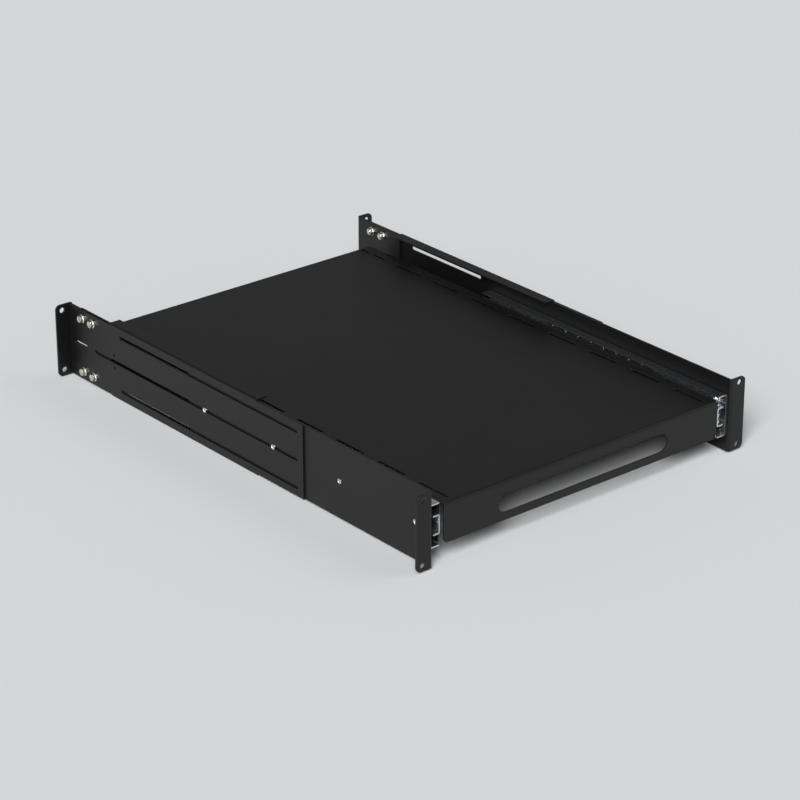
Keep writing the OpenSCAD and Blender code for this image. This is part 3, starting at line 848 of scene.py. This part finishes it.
def add_floor(colour):
    """A floor that ends far outside every view, just under the shelf."""
    middle = (Vector(CAD_BOX[0]) + Vector(CAD_BOX[1])) / 2
    floor_z = CAD_BOX[0][2] - 0.2 * MM
    shape = bmesh.new()
    bmesh.ops.create_circle(shape, cap_ends=True, radius=30.0, segments=96)
    shape.transform(Matrix.Translation((middle.x, middle.y, floor_z)))
    floor = to_object("floor", [shape])
    floor.data.materials.append(matt_floor(colour))


def room(stage):
    """The studio as the shelf mirrors it: pale at the floor line, with lit screens all round and
    a dim ceiling."""
    world = bpy.data.worlds.new("studio")
    world.use_nodes = True
    tree = world.node_tree
    tree.nodes.clear()
    place = add_node(tree, "ShaderNodeTexCoord").outputs["Generated"]
    way = add_node(tree, "ShaderNodeSeparateXYZ", {0: place})
    ramp = add_node(tree, "ShaderNodeValToRGB", {0: way.outputs["Z"]})
    # Degrees above the floor line, and the room's colour there
    heights = {0: stage.horizon_colour, 12: stage.low_colour, 26: stage.high_colour,
               50: stage.ceiling_colour, 90: stage.ceiling_colour}
    stops = ramp.color_ramp.elements
    for _ in range(len(heights) - len(stops)):
        stops.new(1.0)
    for stop, (degrees, colour) in zip(stops, heights.items()):
        stop.position = math.sin(math.radians(degrees))
        stop.color = solid(colour)
    light = add_node(tree, "ShaderNodeBackground", {"Color": ramp.outputs[0], "Strength": 1.0})
    add_node(tree, "ShaderNodeOutputWorld", {"Surface": light.outputs[0]})
    return world


def add_camera(stage):
    """The camera, at the photograph's viewing angle."""
    lens = bpy.data.cameras.new("camera")
    lens.lens = stage.lens
    lens.sensor_width = 36.0
    lens.clip_start, lens.clip_end = 0.05, 100.0
    camera = bpy.data.objects.new("camera", lens)
    camera.location = stage.camera_place
    camera.rotation_euler = stage.camera_turn
    bpy.context.scene.collection.objects.link(camera)
    return camera


class SHELF_OT_set_stage(ShelfStep, bpy.types.Operator):
    """Sets the floor, the lamps, the room round them and the camera"""
    bl_idname = "shelf.set_stage"
    bl_label = "Stage"

    def execute(self, context):
        scene = context.scene
        stage = scene.shelf_stage
        scene.view_settings.view_transform = "Standard"
        add_floor(tuple(stage.floor_colour))
        add_lamp("key_lamp", stage.key, stage.key_from, stage.breadth)
        add_lamp("side_lamp", stage.side, stage.side_from, stage.breadth)
        scene.world = room(stage)
        scene.camera = add_camera(stage)
        return {"FINISHED"}


SETTINGS = {
    "shelf_coat": CoatSettings,
    "shelf_slides": SlideSettings,
    "shelf_fasteners": FastenerSettings,
    "shelf_stage": StageSettings,
}
STEPS = (
    SHELF_OT_coat_tray, SHELF_OT_coat_brackets, SHELF_OT_plate_slides, SHELF_OT_finish_ball_rows,
    SHELF_OT_make_slide_stops, SHELF_OT_make_ear_bolts, SHELF_OT_make_ear_nuts,
    SHELF_OT_make_bracket_screws, SHELF_OT_make_tray_screws, SHELF_OT_make_tray_nuts,
    SHELF_OT_set_stage,
)


class SHELF_PT_steps(bpy.types.Panel):
    """Lists the settings, and the steps that dress the shelf under them"""
    bl_idname = "SHELF_PT_steps"
    bl_label = "Rack shelf"
    bl_space_type = "VIEW_3D"
    bl_region_type = "UI"
    bl_category = "Rack shelf"

    def draw(self, context):
        for holder in SETTINGS:
            box = self.layout.box()
            settings = getattr(context.scene, holder)
            for name in settings.bl_rna.properties.keys():
                if name not in ("rna_type", "name"):
                    box.prop(settings, name)
        for step in STEPS:
            self.layout.operator(step.bl_idname)


def register():
    for kind in (*SETTINGS.values(), *STEPS, SHELF_PT_steps):
        bpy.utils.register_class(kind)
    for name, kind in SETTINGS.items():
        setattr(bpy.types.Scene, name, PointerProperty(type=kind))


def unregister():
    for name in SETTINGS:
        delattr(bpy.types.Scene, name)
    for kind in reversed((*SETTINGS.values(), *STEPS, SHELF_PT_steps)):
        bpy.utils.unregister_class(kind)


def main():
    register()
    for step in STEPS:
        group, name = step.bl_idname.split(".")
        getattr(getattr(bpy.ops, group), name)()


if __name__ == "__main__":
    main()
